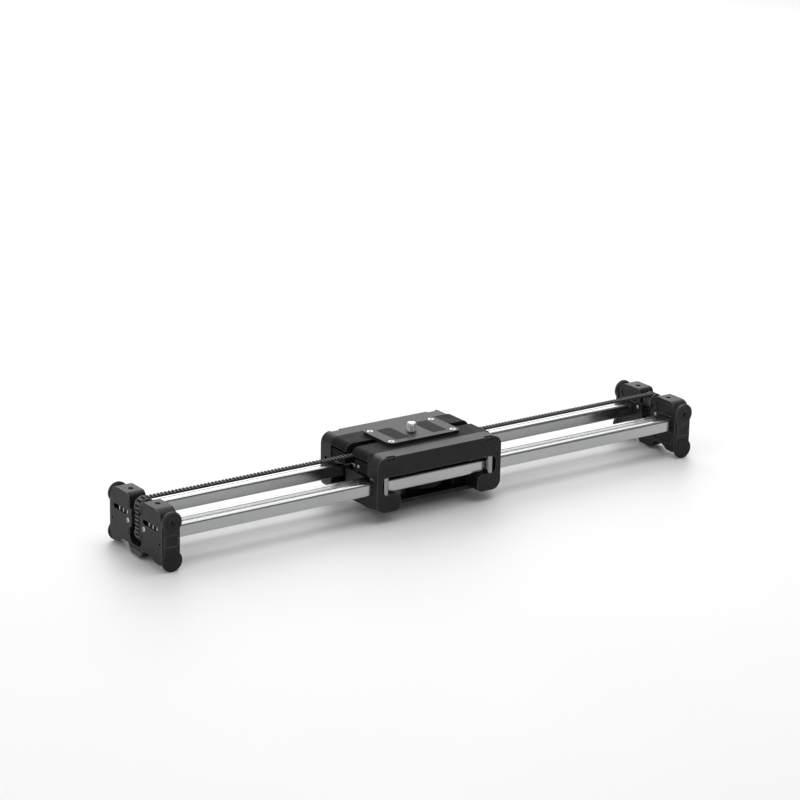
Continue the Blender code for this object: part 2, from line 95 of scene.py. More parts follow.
RAIL_END = high_of("rear_rail").x
RAIL_INNER = low_of("rear_rail").y
RAIL_OUTER = high_of("rear_rail").y
RAIL_FLOOR = floor_of("rear_rail")
RAIL_MIDDLE = (RAIL_INNER + RAIL_OUTER) / 2

BLOCK_IN = low_of("right_end_block").x
BLOCK_OUT = high_of("right_end_block").x
BLOCK_SIDE = high_of("right_end_block").y
BLOCK_TOP = top_of("right_end_block")
TONGUE_FLOOR = floor_of("right_end_block")

IDLER = middle_of("right_upper_idler") - FRAME_AT
IDLER_HEIGHTS = {
    "upper": middle_of("right_upper_idler").z - RAIL_TOP,
    "lower": middle_of("right_lower_idler").z - RAIL_TOP,
}
BELT_OUTER = top_of("drive_belt") - IDLER_HEIGHTS["upper"]
BELT_HALF = high_of("drive_belt").y

PIVOT = middle_of("pivot_bolt_right_rear") - FRAME_AT
FOOT = middle_of("foot_right_rear") - FRAME_AT
LEG_IN = low_of("leg_arm_right_rear").y
LEG_OUT = high_of("foot_right_rear").y
FOOT_RADIUS = FOOT.z + RAIL_TOP
BOLT_RADIUS = high_of("pivot_bolt_right_rear").z - middle_of("pivot_bolt_right_rear").z
HEAD_IN = LEG_IN + 1.6

CARRIAGE_HALF = high_of("rear_side_plate").x - CAMERA_AT.x
PLATE_OUT = high_of("rear_side_plate").y
PLATE_TOP = top_of("rear_side_plate")
HOOK_FLOOR = floor_of("rear_side_plate")
HOOK_IN = low_of("rear_side_plate").y
COVER_IN = low_of("rear_cover").y
COVER_OUT = high_of("rear_cover").y
COVER_TOP = top_of("rear_cover")

BASE_SIDE = high_of("base_plate").y
BASE_FLOOR = floor_of("base_plate")
BASE_TOP = top_of("base_plate")


def corner_at(middle, end, side, spot):
    """The place of an (x, y) spot at one corner of a group of pieces."""
    return middle + Vector((end * spot[0], side * spot[1], 0))


def end_at(middle, end, spot):
    """The place of an (x, z) spot at one end of a group of pieces."""
    return middle + Vector((end * spot[0], 0, spot[1]))


# Shapes


def place(axis, u, v, along):
    """A point in metres: u and v lie across the axis in X, Y, Z order, and along lies on it."""
    if axis == "X":
        point = (along, u, v)
    elif axis == "Y":
        point = (u, along, v)
    else:
        point = (u, v, along)
    return Vector(point) * MM


def rounded(corners, steps=6):
    """The outline through (u, v, radius) corners, with an arc at each corner that has a radius."""
    outline = []
    for index, (u, v, radius) in enumerate(corners):
        corner = Vector((u, v))
        if radius == 0:
            outline.append(corner)
            continue
        back = (Vector(corners[index - 1][:2]) - corner).normalized()
        ahead = (Vector(corners[(index + 1) % len(corners)][:2]) - corner).normalized()
        half_angle = back.angle(ahead) / 2
        centre = corner + (back + ahead).normalized() * radius / math.sin(half_angle)
        first = corner + back * radius / math.tan(half_angle) - centre
        last = corner + ahead * radius / math.tan(half_angle) - centre
        start = math.atan2(first.y, first.x)
        sweep = (math.atan2(last.y, last.x) - start + math.pi) % math.tau - math.pi
        for step in range(steps + 1):
            angle = start + sweep * step / steps
            outline.append(centre + radius * Vector((math.cos(angle), math.sin(angle))))
    return outline


def mirrored(half, steps):
    """The outline of half the corners and their mirror images."""
    return rounded(half + [(-u, v, radius) for u, v, radius in reversed(half)], steps)


def rectangle(u_from, v_from, u_to, v_to, radius=0.0, steps=6):
    u_low, u_high = sorted((u_from, u_to))
    v_low, v_high = sorted((v_from, v_to))
    corners = [(u_low, v_low), (u_high, v_low), (u_high, v_high), (u_low, v_high)]
    return rounded([(u, v, radius) for u, v in corners], steps)


def polygon(radius, sides, turn=0.0):
    angles = [math.tau * index / sides + turn for index in range(sides)]
    return [Vector((radius * math.cos(angle), radius * math.sin(angle))) for angle in angles]


def new_piece(name, shape, at):
    """A closed bmesh as an object whose faces point out, at a place in millimetres."""
    bmesh.ops.recalc_face_normals(shape, faces=shape.faces)
    mesh = bpy.data.meshes.new(name)
    shape.to_mesh(mesh)
    shape.free()
    piece = bpy.data.objects.new(name, mesh)
    piece.location = Vector(at) * MM
    bpy.context.scene.collection.objects.link(piece)
    return piece


def prism(name, outline, axis, low, high, at):
    """An outline pushed along an axis from low to high."""
    shape = bmesh.new()
    rims = []
    for along in sorted((low, high)):
        rims.append([shape.verts.new(place(axis, u, v, along)) for u, v in outline])
    shape.faces.new(rims[0])
    shape.faces.new(list(reversed(rims[1])))
    for index in range(len(outline)):
        after = (index + 1) % len(outline)
        shape.faces.new([rims[0][index], rims[1][index], rims[1][after], rims[0][after]])
    return new_piece(name, shape, at)


def join_rings(shape, lower, upper):
    """Closes the wall between two rings of points."""
    for side in range(len(lower)):
        after = (side + 1) % len(lower)
        loop = [lower[side], lower[after], upper[after], upper[side]]
        shape.faces.new(list(dict.fromkeys(loop)))


def lathe(name, profile, axis, at, sides=48, bore=False):
    """A (radius, along) profile turned about an axis. With a bore, the profile closes on itself."""
    shape = bmesh.new()
    rings = []
    for radius, along in profile:
        if radius == 0:
            rings.append([shape.verts.new(place(axis, 0, 0, along))] * sides)
            continue
        rings.append([shape.verts.new(place(axis, u, v, along)) for u, v in polygon(radius, sides)])
    pairs = list(zip(rings, rings[1:]))
    if bore:
        pairs.append((rings[-1], rings[0]))
    for lower, upper in pairs:
        join_rings(shape, lower, upper)
    return new_piece(name, shape, at)


def waved(name, at, sides, levels, radius_at):
    """A closed upright rod whose radius varies with height and angle: threads and ribs."""
    shape = bmesh.new()
    rings = []
    for level in levels:
        ring = []
        for side in range(sides):
            angle = math.tau * side / sides
            radius = radius_at(level, angle)
            u, v = radius * math.cos(angle), radius * math.sin(angle)
            ring.append(shape.verts.new(place("Z", u, v, level)))
        rings.append(ring)
    shape.faces.new(rings[0])
    shape.faces.new(list(reversed(rings[-1])))
    for lower, upper in zip(rings, rings[1:]):
        join_rings(shape, lower, upper)
    return new_piece(name, shape, at)


def thread(name, radius, pitch, low, high, at, sides=36):
    """A thread along Z, running out to its root at both ends."""
    depth = 0.54 * pitch
    flank = 2.6
    step = pitch / 6
    levels = [low + step * index for index in range(round((high - low) / step) + 1)]

    def radius_at(level, angle):
        turn = (level / pitch - angle / math.tau) % 1.0
        crest = min(1.0, abs(turn - 0.5) * flank)
        runout = min(1.0, (level - low) / pitch, (high - level) / pitch)
        return radius - depth + depth * crest * max(runout, 0.0)

    return waved(name, at, sides, levels, radius_at)


def cut(piece, tool, operation="DIFFERENCE"):
    """Takes a tool out of a piece when it is finished."""
    modifier = piece.modifiers.new(tool.name, "BOOLEAN")
    modifier.operation = operation
    modifier.solver = "EXACT"
    modifier.object = tool


def weld(piece, tool):
    """Adds a tool to a piece when it is finished."""
    cut(piece, tool, "UNION")


def cut_box(piece, low, high, at):
    """Takes out the box between two opposite corners, in either order."""
    outline = rectangle(*low[:2], *high[:2])
    cut(piece, prism("tool", outline, "Z", low[2], high[2], at))


def cut_bore(piece, radius, axis, at, start, end, sides=32):
    """Takes out a round hole between two places on its axis, in either order."""
    low, high = sorted((start, end))
    profile = [(0, low), (radius, low), (radius, high), (0, high)]
    cut(piece, lathe("tool", profile, axis, at, sides))


def apply_modifiers(piece):
    """Bakes a piece's modifiers into its mesh and removes the tools they used."""
    tools = [modifier.object for modifier in piece.modifiers if modifier.type == "BOOLEAN"]
    bpy.context.view_layer.update()
    evaluated = piece.evaluated_get(bpy.context.evaluated_depsgraph_get())
    mesh = bpy.data.meshes.new_from_object(evaluated)
    piece.modifiers.clear()
    piece.data = mesh
    for tool in tools:
        bpy.data.objects.remove(tool, do_unlink=True)


def finish(piece, material, body, replaces=(), edge=0, edge_steps=2):
    """Carves, bevels and shades a piece, and says what it rides on and stands for."""
    if piece.modifiers:
        apply_modifiers(piece)
    if edge:
        bevel = piece.modifiers.new("edge", "BEVEL")
        bevel.width = edge * MM
        bevel.segments = edge_steps
        bevel.limit_method = "ANGLE"
        bevel.angle_limit = math.radians(BEVEL_ANGLE)
        bevel.miter_outer = "MITER_ARC"
        apply_modifiers(piece)
    piece.data.shade_smooth()
    piece.data.set_sharp_from_angle(angle=math.radians(SHARP_ANGLE))
    flat_faces = piece.modifiers.new("flat_faces", "WEIGHTED_NORMAL")
    flat_faces.keep_sharp = True
    flat_faces.weight = 100
    apply_modifiers(piece)
    piece.data.materials.clear()
    piece.data.materials.append(material)
    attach(piece, body)
    for node in replaces:
        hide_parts(node)


# Materials

DARK_SPECULAR = 0.26
# Width of the lighter band along edges: a painted highlight that also stands for edge wear.
EDGE_WEAR_AND_HIGHLIGHT = 0.6


def start_material(name, metallic=0.0, specular=0.5):
    """A Principled material, with the coordinates of the piece that wears it."""
    material = bpy.data.materials.new(name)
    material.use_nodes = True
    nodes = material.node_tree.nodes
    shader = nodes["Principled BSDF"]
    shader.inputs["Metallic"].default_value = metallic
    shader.inputs["Specular IOR Level"].default_value = specular
    coordinates = nodes.new("ShaderNodeTexCoord")
    return material, shader, coordinates.outputs["Object"]


def noise(material, coordinates, scale, detail=3.0, stretch=(1, 1, 1)):
    """Noise with grains of about 1 / scale metres, drawn out along an axis by a small stretch."""
    tree = material.node_tree
    mapping = tree.nodes.new("ShaderNodeMapping")
    mapping.inputs["Scale"].default_value = stretch
    texture = tree.nodes.new("ShaderNodeTexNoise")
    texture.inputs["Scale"].default_value = scale
    texture.inputs["Detail"].default_value = detail
    tree.links.new(coordinates, mapping.inputs["Vector"])
    tree.links.new(mapping.outputs["Vector"], texture.inputs["Vector"])
    return texture.outputs["Fac"]


def ramp(material, value, low, high, start=0.35, end=0.65):
    """Turns a value into a range, or into a mix of two colours."""
    tree = material.node_tree
    if isinstance(low, tuple):
        node = tree.nodes.new("ShaderNodeValToRGB")
        first, last = node.color_ramp.elements
        first.position = start
        last.position = end
        first.color = (*low, 1)
        last.color = (*high, 1)
        tree.links.new(value, node.inputs["Fac"])
        return node.outputs["Color"]
    node = tree.nodes.new("ShaderNodeMapRange")
    node.inputs["From Min"].default_value = start
    node.inputs["From Max"].default_value = end
    node.inputs["To Min"].default_value = low
    node.inputs["To Max"].default_value = high
    tree.links.new(value, node.inputs["Value"])
    return node.outputs["Result"]


def bump(material, shader, height, depth, strength=1.0):
    """Raises a surface by a height pattern, depth in millimetres."""
    tree = material.node_tree
    node = tree.nodes.new("ShaderNodeBump")
    node.inputs["Distance"].default_value = depth * MM
    node.inputs["Strength"].default_value = strength
    tree.links.new(height, node.inputs["Height"])
    tree.links.new(node.outputs["Normal"], shader.inputs["Normal"])


def edge_wear_and_highlight(material, colour, edge_wear_and_highlight_colour):
    """Mixes a lighter colour in along a piece's edges, where a rounded normal leaves the real one: a painted
    highlight along the edges that also stands for edge wear.
    """
    tree = material.node_tree
    geometry = tree.nodes.new("ShaderNodeNewGeometry")
    soft = tree.nodes.new("ShaderNodeBevel")
    soft.samples = 4
    soft.inputs["Radius"].default_value = EDGE_WEAR_AND_HIGHLIGHT * MM
    likeness = tree.nodes.new("ShaderNodeVectorMath")
    likeness.operation = "DOT_PRODUCT"
    tree.links.new(geometry.outputs["Normal"], likeness.inputs[0])
    tree.links.new(soft.outputs["Normal"], likeness.inputs[1])
    factor = ramp(material, likeness.outputs["Value"], 1.0, 0.0, 0.93, 0.99)
    mix = tree.nodes.new("ShaderNodeMix")
    mix.data_type = "RGBA"
    colour_from, colour_to = (socket for socket in mix.inputs if socket.type == "RGBA")
    colour_to.default_value = (*edge_wear_and_highlight_colour, 1)
    tree.links.new(factor, mix.inputs["Factor"])
    tree.links.new(colour, colour_from)
    return next(socket for socket in mix.outputs if socket.type == "RGBA")


def dress(material, shader, colour, roughness):
    """Gives a material its colour and its roughness."""
    material.node_tree.links.new(colour, shader.inputs["Base Color"])
    material.node_tree.links.new(roughness, shader.inputs["Roughness"])


def moulded_black():
    material, shader, coordinates = start_material("moulded_black", specular=0.15)
    tree = material.node_tree
    cells = tree.nodes.new("ShaderNodeTexVoronoi")
    cells.inputs["Scale"].default_value = 2600
    tree.links.new(coordinates, cells.inputs["Vector"])
    cloud = noise(material, coordinates, 90, 3)
    colour = ramp(material, cloud, (0.005, 0.005, 0.0055), (0.009, 0.009, 0.0095))
    # Lighter edges: a painted highlight that also stands for edge wear.
    colour = edge_wear_and_highlight(material, colour, (0.15, 0.15, 0.153))
    dress(material, shader, colour, ramp(material, cloud, 0.62, 0.74))
    bump(material, shader, cells.outputs["Distance"], 0.03, 0.5)
    return material


def fine_grained(name, colours, edge_wear_and_highlight_colour, cloud, grain, roughness, relief, specular=DARK_SPECULAR):
    """A cloudy colour with edges lightened by a painted highlight that also stands for edge wear, and a fine
    grain in the roughness and the surface.
    """
    material, shader, coordinates = start_material(name, specular=specular)
    clouds = noise(material, coordinates, *cloud)
    grains = noise(material, coordinates, *grain)
    # Lighter edges: a painted highlight that also stands for edge wear.
    colour = edge_wear_and_highlight(material, ramp(material, clouds, *colours), edge_wear_and_highlight_colour)
    dress(material, shader, colour, ramp(material, grains, *roughness))
    bump(material, shader, grains, *relief)
    return material


def brushed_silver():
    """Clear anodised bar stock, with fine lines drawn along X."""
    material, shader, coordinates = start_material("brushed_silver", metallic=1.0)
    lines = noise(material, coordinates, 3000, 3, (0.004, 1, 1))
    cloud = noise(material, coordinates, 14, 3, (0.3, 1, 1))
    colour = ramp(material, cloud, (0.40, 0.405, 0.41), (0.45, 0.455, 0.46))
    dress(material, shader, colour, ramp(material, lines, 0.15, 0.26))
    bump(material, shader, lines, 0.01, 0.25)
    return material


def turned_steel(name, axis, dark, light):
    """Machined steel with fine rings about its axis."""
    material, shader, coordinates = start_material(name, metallic=1.0)
    tree = material.node_tree
    rings = tree.nodes.new("ShaderNodeTexWave")
    rings.wave_type = "RINGS"
    rings.rings_direction = axis
    rings.inputs["Scale"].default_value = 900
    rings.inputs["Distortion"].default_value = 0.4
    tree.links.new(coordinates, rings.inputs["Vector"])
    cloud = noise(material, coordinates, 400, 3)
    colour = ramp(material, cloud, dark, light)
    dress(material, shader, colour, ramp(material, rings.outputs["Fac"], 0.2, 0.34, 0.0, 1.0))
    bump(material, shader, rings.outputs["Fac"], 0.004, 0.4)
    return material


def polished_chrome():
    material, shader, coordinates = start_material("polished_chrome", metallic=1.0)
    smudge = noise(material, coordinates, 700, 4, (1, 1, 0.2))
    colour = ramp(material, smudge, (0.26, 0.26, 0.27), (0.34, 0.34, 0.35))
    dress(material, shader, colour, ramp(material, smudge, 0.05, 0.16))
    bump(material, shader, smudge, 0.002, 0.2)
    return material


def floor_paint():
    material, shader, coordinates = start_material("pale_floor")
    cloud = noise(material, coordinates, 3, 2)
    colour = ramp(material, cloud, (0.86, 0.86, 0.86), (0.88, 0.88, 0.88))
    material.node_tree.links.new(colour, shader.inputs["Base Color"])
    return material


# Each material's third colour is its lighter edge colour: a painted highlight that also stands for edge wear.
BLACK = fine_grained(
    "anodised_black", ((0.007, 0.007, 0.0075), (0.011, 0.011, 0.0115)), (0.17, 0.17, 0.173),
    cloud=(60, 3), grain=(5200, 4), roughness=(0.36, 0.52), relief=(0.02, 0.35),
)
PLASTIC = moulded_black()
GREY = fine_grained(
    "moulded_grey", ((0.035, 0.035, 0.037), (0.055, 0.055, 0.058)), (0.3, 0.3, 0.305),
    cloud=(120, 3), grain=(4000, 3), roughness=(0.4, 0.55), relief=(0.015, 0.4), specular=0.5,
)
FOOT_RUBBER = fine_grained(
    "soft_rubber", ((0.012, 0.012, 0.0125), (0.018, 0.018, 0.0185)), (0.09, 0.09, 0.092),
    cloud=(150, 4), grain=(2600, 4), roughness=(0.6, 0.8), relief=(0.02, 0.6),
)
BELT_RUBBER = fine_grained(
    "belt_rubber_looks", ((0.004, 0.004, 0.0042), (0.009, 0.009, 0.0092)), (0.05, 0.05, 0.052),
    cloud=(150, 4), grain=(3200, 4), roughness=(0.6, 0.8), relief=(0.03, 0.6),
)
# Lighter colour for the belt's tooth crests: a painted highlight on the tooth tops that also stands for wear.
BELT_CREST_WEAR_AND_HIGHLIGHT = fine_grained(
    "belt_crest_wear_and_highlight", ((0.08, 0.08, 0.081), (0.13, 0.13, 0.131)), (0.2, 0.2, 0.202),
    cloud=(150, 4), grain=(3200, 4), roughness=(0.6, 0.8), relief=(0.03, 0.6),
)
SILVER = brushed_silver()
STEEL = {
    axis: turned_steel(f"turned_steel_{axis}", axis, (0.5, 0.5, 0.51), (0.6, 0.6, 0.61)) for axis in "XYZ"
}
# Steel darkened to stand for the shade the support rollers sit in: painted shade.
SHADED_STEEL = turned_steel("shaded_steel", "Y", (0.05, 0.05, 0.052), (0.09, 0.09, 0.092))
CHROME = polished_chrome()


# Screws


def socket_screw(name, out, at, radius, height, body):
    """Domed screw head with a hex socket. It stands at a place and faces out along X, + or -."""
    depth = 1.2
    steps = 6
    profile = [(0, -out * depth), (radius * 0.95, -out * depth), (radius, 0)]
    for step in range(1, steps):
        angle = math.radians(90 * step / steps)
        profile.append((radius * math.cos(angle) ** 0.8, out * height * math.sin(angle)))
    profile.append((0, out * height))
    screw = lathe(name, profile, "X", at, 40)
    cut(screw, prism("tool", polygon(radius * 0.46, 6), "X", out * height * 0.25, out * height * 2, at))
    finish(screw, STEEL["X"], body, edge=0.12, edge_steps=1)


def flat_screw(name, at, face, out, body):
    """Countersunk screw with a hex socket, level with a face that looks along Z, + or -."""
    radius = 3.0
    profile = [
        (0, face - out * 2.1), (radius * 0.5, face - out * 2.1), (radius, face - out * 0.25),
        (radius, face - out * 0.1), (radius * 0.94, face), (0, face),
    ]
    screw = lathe(name, profile, "Z", at, 40)
    cut(screw, prism("tool", polygon(radius * 0.5, 6), "Z", face - out * 1.3, face + out, at))
    finish(screw, STEEL["Z"], body, edge=0.08, edge_steps=1)


def cut_sink(piece, at, face, out, depth):
    """Takes out the tapered sink of a flat screw."""
    rim = 3.2
    root = 1.6
    profile = [
        (0, face - out * depth), (root, face - out * depth), (rim, face + out * 0.01), (rim, face + out),
        (0, face + out),
    ]
    cut(piece, lathe("tool", profile, "Z", at, 32))


# Rails


def groove(near, far, face, floor, radius):
    """The corners of a groove between two places on a face."""
    return [(near, face, radius), (near, floor, radius), (far, floor, radius), (far, face, radius)]


def rail(side_name):
    """Flat bar with two narrow grooves along its top and two shallow channels below."""
    side = SIDES[side_name]
    depth = 0.9
    groove_half = 0.6
    groove_spread = 3.5
    channel_half = 2.2
    channel_spread = 4.5
    corners = [(side * RAIL_INNER, 0, 2.5)]
    for middle in (RAIL_MIDDLE - groove_spread, RAIL_MIDDLE + groove_spread):
        corners += groove(side * (middle - groove_half), side * (middle + groove_half), 0, -depth, 0.1)
    corners += [(side * RAIL_OUTER, 0, 2.5), (side * RAIL_OUTER, RAIL_FLOOR, 1.3)]
    for middle in (RAIL_MIDDLE + channel_spread, RAIL_MIDDLE - channel_spread):
        near = side * (middle + channel_half)
        far = side * (middle - channel_half)
        corners += groove(near, far, RAIL_FLOOR, RAIL_FLOOR + depth, 0.3)
    corners.append((side * RAIL_INNER, RAIL_FLOOR, 1.3))
    bar = prism(f"{side_name}_rail_bar", rounded(corners, 5), "X", -RAIL_END, RAIL_END, FRAME_AT)
    finish(bar, SILVER, "rail_frame", [f"{side_name}_rail"])


# End blocks

LATCH_SLOT = (13.0, 40.0, -4.5, 0.8)  # near, far, floor, top
END_SCREW = (14.3, -9.0)  # y, z


def block_outline():
    """The end block's outline in Y and Z: two lobes beside the belt slot, and a tongue under it."""
    slot = 10.8
    boss = 7.6
    notch = boss + 0.8
    half = [
        (7.0, -29.0, 1.5),
        (slot, -24.5, 1.0),
        (slot, -13.5, 0.4),
        (boss, -13.5, 1.0),
        (boss, -9.6, 0.3),
        (notch, -9.6, 0.3),
        (notch, -8.4, 0.3),
        (boss, -8.4, 0.3),
        (boss, -4.6, 0.3),
        (notch, -4.6, 0.3),
        (notch, -3.4, 0.3),
        (boss, -3.4, 0.3),
        (boss, 2.5, 1.0),
        (slot, 2.5, 0.4),
        (slot, BLOCK_TOP, 5.5),
        (BLOCK_SIDE, BLOCK_TOP, 11.0),
        (BLOCK_SIDE, -35.0, 3.0),
        (33.5, -34.6, 4.0),
        (26.0, -30.3, 4.0),
        (13.4, -30.3, 2.0),
        (10.7, -35.5, 1.0),
        (8.0, TONGUE_FLOOR, 1.0),
    ]
    return mirrored(half, 5)


def cut_end_face(block, end, outline, depth, beyond=1):
    """Sinks an outline in Y and Z into a block's end face."""
    inner, outer = end * (BLOCK_OUT - depth), end * (BLOCK_OUT + beyond)
    cut(block, prism("tool", outline, "X", inner, outer, FRAME_AT))


def cut_lobe(block, end, side):
    """The bores, slots and pockets in one of a block's lobes."""
    cut_bore(block, 3.3, "Y", end_at(FRAME_AT, end, PIVOT.xz), side * 35.7, side * 47.0)
    accessory_at = corner_at(FRAME_AT, end, side, (PIVOT.x, 24.0))
    cut(block, thread("tool", 3.2, 1.27, 8.0, BLOCK_TOP + 1.4, accessory_at, 28))
    near, far, floor, top = LATCH_SLOT
    cut_end_face(block, end, rectangle(side * near, floor, side * far, top, 2.4), 4.5)
    screw_y, screw_z = END_SCREW
    screw_at = FRAME_AT + Vector((0, side * screw_y, screw_z))
    cut_bore(block, 3.0, "X", screw_at, end * (BLOCK_OUT - 1.4), end * (BLOCK_OUT + 1))
    pin_at = FRAME_AT + Vector((0, side * 42.4, -14.7))
    cut_bore(block, 1.5, "X", pin_at, end * (BLOCK_OUT - 5), end * (BLOCK_OUT + 1), 16)
    for arc_floor, arc_top in ((3.5, 11.6), (-23.0, -14.3)):
        cut_end_face(block, end, rectangle(side * 11.6, arc_floor, side * 13.0, arc_top, 0.65), 6)
    for pocket_floor, pocket_top, radius in ((1.6, 13.6, 4.5), (-28.0, -15.5, 3.5)):
        pocket = rectangle(side * 14.0, pocket_floor, side * 41.0, pocket_top, radius)
        cut(block, prism("tool", pocket, "X", end * (BLOCK_IN - 1), end * (BLOCK_IN + 0.9), FRAME_AT))


def end_block(end_name):
    end = ENDS[end_name]
    name = f"{end_name}_block_casting"
    block = prism(name, block_outline(), "X", end * BLOCK_IN, end * BLOCK_OUT, FRAME_AT)
    for height in IDLER_HEIGHTS.values():
        cut_bore(block, 2.8, "Y", end_at(FRAME_AT, end, (IDLER.x, height)), -16.3, 16.3)
    for side in SIDES.values():
        cut_lobe(block, end, side)
    cut_end_face(block, end, rectangle(-9.8, -37.7, 9.8, -32.7, 2.0), 1, 2)
    finish(block, BLACK, "rail_frame", [f"{end_name}_end_block"], edge=0.45)


def latch(end_name, side_name):
    """Plate with three bright pins in the end face's slot, leaving a window open beside it."""
    end, side = ENDS[end_name], SIDES[side_name]
    corner = f"{end_name}_{side_name}"
    near, far, floor, top = LATCH_SLOT
    # The window is at the slot's +Y end on the left block, and at its -Y end on the right block.
    margins = (0.5, 9.5) if end_name == "left" else (9.5, 0.5)
    low = min(side * near, side * far) + margins[0]
    high = max(side * near, side * far) - margins[1]
    outline = rectangle(low, floor + 0.9, high, top - 0.3, 0.8)
    name = f"latch_{corner}"
    plate = prism(name, outline, "X", end * (BLOCK_OUT - 4.3), end * (BLOCK_OUT - 0.6), FRAME_AT)
    finish(plate, PLASTIC, "rail_frame", edge=0.15)
    for index, share in enumerate((0.04, 0.45, 0.86)):
        y = low + (high - low) * share
        outline = rectangle(y, floor + 1.3, y + 1.2, top - 0.6, 0.3)
        name = f"latch_pin_{corner}_{index}"
        pin = prism(name, outline, "X", end * (BLOCK_OUT - 0.5), end * (BLOCK_OUT - 0.1), FRAME_AT)
        finish(pin, STEEL["X"], "rail_frame")


def block_screws(end_name, side_name):
    """A screw sunk in the end face, and a smaller one on the face towards the rails."""
    end, side = ENDS[end_name], SIDES[side_name]
    corner = f"{end_name}_{side_name}"
    screw_y, screw_z = END_SCREW
    outer_at = FRAME_AT + Vector((end * (BLOCK_OUT - 0.8), side * screw_y, screw_z))
    socket_screw(f"end_screw_{corner}", end, outer_at, 2.65, 1.5, "rail_frame")
    inner_at = FRAME_AT + Vector((end * BLOCK_IN, side * 14.0, -2.0))
    socket_screw(f"inner_screw_{corner}", -end, inner_at, 1.9, 1.1, "rail_frame")


def tongue_pad(end_name):
    """Soft pad let into the end face under the belt."""
    end = ENDS[end_name]
    outline = rectangle(-9.5, -37.4, 9.5, -33.0, 1.7)
    name = f"{end_name}_tongue_pad"
    pad = prism(name, outline, "X", end * (BLOCK_OUT - 0.7), end * (BLOCK_OUT + 0.6), FRAME_AT)
    finish(pad, GREY, "rail_frame", [f"{end_name}_end_pad"], edge=0.5, edge_steps=3)


# Belt, idlers and axles


def belt_path(distance, radius):
    """The point and the outward direction at a distance along the loop, as (x, z) pairs."""
    high = IDLER_HEIGHTS["upper"]
    low = IDLER_HEIGHTS["lower"]
    quarter = math.pi * radius / 2
    straights = [2 * IDLER.x, high - low, 2 * IDLER.x, high - low]
    centres = [(IDLER.x, low), (IDLER.x, high), (-IDLER.x, high), (-IDLER.x, low)]
    for index, straight in enumerate(straights):
        outward = math.radians(90 * index - 90)
        normal = Vector((math.cos(outward), math.sin(outward)))
        heading = Vector((-normal.y, normal.x))
        centre = Vector(centres[index])
        if distance <= straight:
            return centre - heading * (straight - distance) + normal * radius, normal
        distance -= straight
        if distance <= quarter:
            turned = outward + distance / radius
            normal = Vector((math.cos(turned), math.sin(turned)))
            return centre + normal * radius, normal
        distance -= quarter
    return belt_path(distance, radius)


def drive_belt():
    """Toothed loop, smooth inside where it runs on the idlers, with its teeth out."""
    tooth_pitch = 3.85
    back = 0.6
    tooth = 1.1
    inner = BELT_OUTER - back - tooth
    length = 4 * IDLER.x + 2 * (IDLER_HEIGHTS["upper"] - IDLER_HEIGHTS["lower"]) + math.tau * inner
    teeth = round(length / tooth_pitch)
    # Shares of the pitch and of the tooth's height: the gap's two ends, then the crest's two ends.
    steps = [(0.0, 0.0), (0.42, 0.0), (0.5, 1.0), (0.92, 1.0)]
    crest_step = 2
    shape = bmesh.new()
    rows = []
    for index in range(teeth):
        for share, rise in steps:
            spot, normal = belt_path((index + share) * length / teeth, inner)
            outer = spot + normal * (back + tooth * rise)
            edge = BELT_HALF - 0.25 * rise
            row = [(spot, -BELT_HALF), (outer, -edge), (outer, edge), (spot, BELT_HALF)]
            rows.append([shape.verts.new(Vector((point.x, y, point.y)) * MM) for point, y in row])
    for row, after in zip(rows, rows[1:] + rows[:1]):
        join_rings(shape, row, after)
    belt = new_piece("toothed_belt", shape, FRAME_AT)
    finish(belt, BELT_RUBBER, "rail_frame", ["drive_belt"])
    # The crests take the lighter material: a painted highlight on the tooth tops that also stands for wear.
    belt.data.materials.append(BELT_CREST_WEAR_AND_HIGHLIGHT)
    faces_per_tooth = 4 * len(steps)
    first_crest = 4 * crest_step + 1
    for index in range(first_crest, len(belt.data.polygons), faces_per_tooth):
        belt.data.polygons[index].material_index = 1


def idler(end_name, level):
    """Flanged wheel with six holes and a bearing in each face."""
    at = end_at(FRAME_AT, ENDS[end_name], (IDLER.x, IDLER_HEIGHTS[level]))
    half = [
        (2.75, 7.2), (3.1, 7.2), (3.3, 6.9), (3.7, 6.9), (4.0, 7.1), (4.2, 7.1), (4.4, 6.8), (4.4, 5.3),
        (7.9, 5.3), (8.2, 5.0), (8.2, 4.3), (7.9, 4.0), (6.7, 3.9), (6.4, 3.7),
    ]
    profile = half + [(radius, -along) for radius, along in reversed(half)]
    name = f"{end_name}_{level}_idler"
    wheel = lathe(f"{name}_wheel", profile, "Y", at, 56, bore=True)
    for x, z in polygon(6.1, 6):
        cut_bore(wheel, 0.9, "Y", at + Vector((x, 0, z)), -8, 8, 12)
    finish(wheel, GREY, name, [name])


def axle(end_name, level):
    """Plain axle with a ring groove near each end."""
    at = end_at(FRAME_AT, ENDS[end_name], (IDLER.x, IDLER_HEIGHTS[level]))
    half = [
        (2.5, 8.2), (2.5, 14.2), (2.1, 14.3), (2.1, 15.0), (2.5, 15.1), (2.5, 15.6), (2.1, 16.0), (0, 16.0)
    ]
    profile = [(radius, -along) for radius, along in reversed(half)] + half
    node = f"{end_name}_{level}_axle"
    rod = lathe(f"{node}_pin", profile, "Y", at, 32)
    finish(rod, STEEL["Y"], "rail_frame", [node])


# Legs


